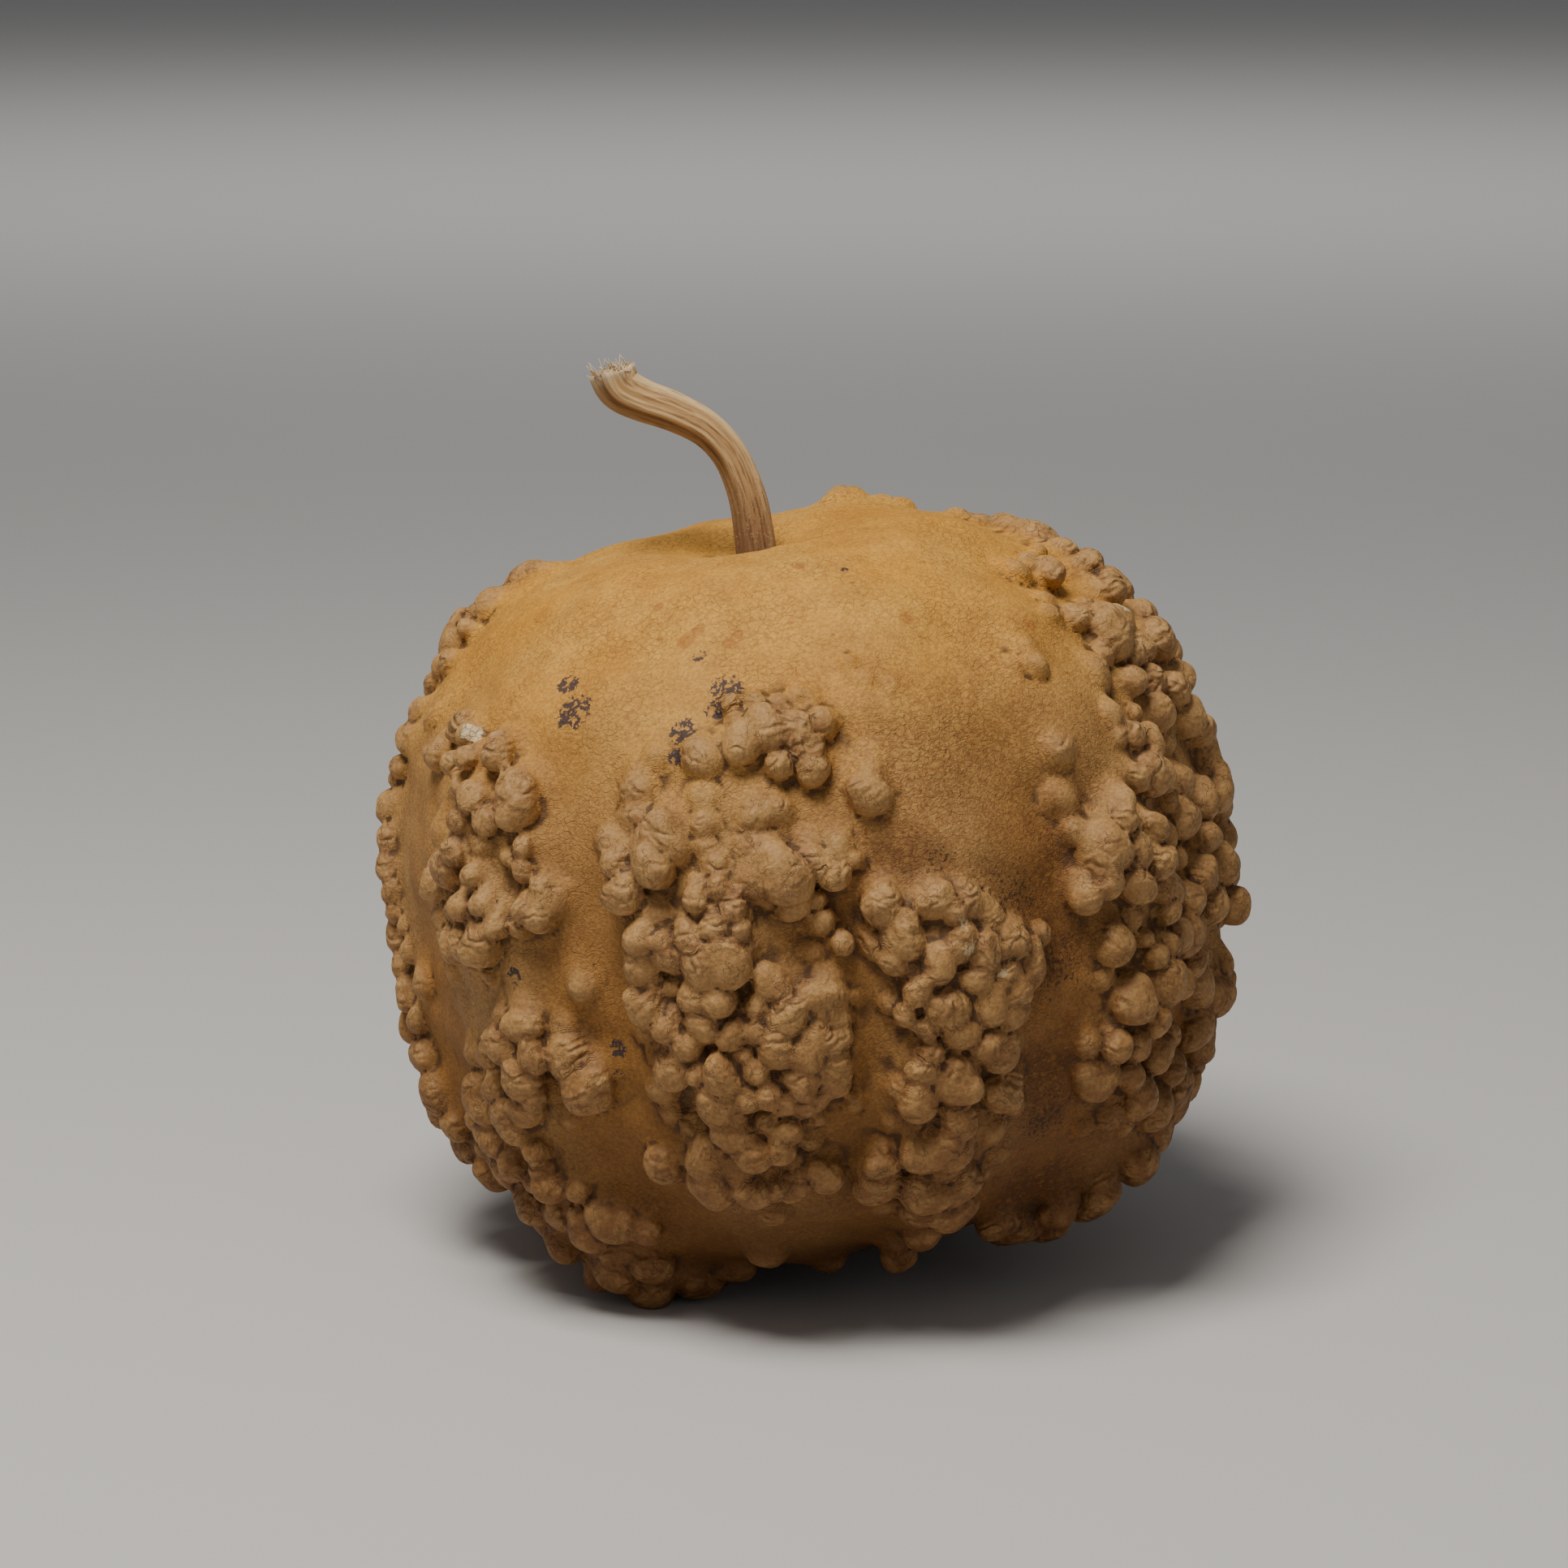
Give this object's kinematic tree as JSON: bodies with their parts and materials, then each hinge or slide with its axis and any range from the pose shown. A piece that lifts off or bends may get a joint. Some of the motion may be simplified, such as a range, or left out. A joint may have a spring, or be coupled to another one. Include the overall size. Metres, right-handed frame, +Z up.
{
  "type": "dried warty gourd",
  "caption": "Squat, ribbed dried gourd with bunches of drooping warts along its ribs and a bent woody stem, resting on its own low warts.",
  "frame": {"origin": "middle of the object's box, on the surface that it rests on", "axes": "+Z up out of the surface towards the stem's end, +X to the right and +Y away from a viewer in front, who sees the fruit lean to the left"},
  "size_m": [0.1868, 0.1802, 0.1933],
  "materials": {
    "rind": "dry, matt ochre rind with greyer tan warts, brown stains and dark mildew specks",
    "stem": "dry, ridged woody stem, tan with dark furrows and a purplish base"
  },
  "bodies": {
    "root": {"fruit": "rind", "stem": "stem"}
  },
  "joints": []
}
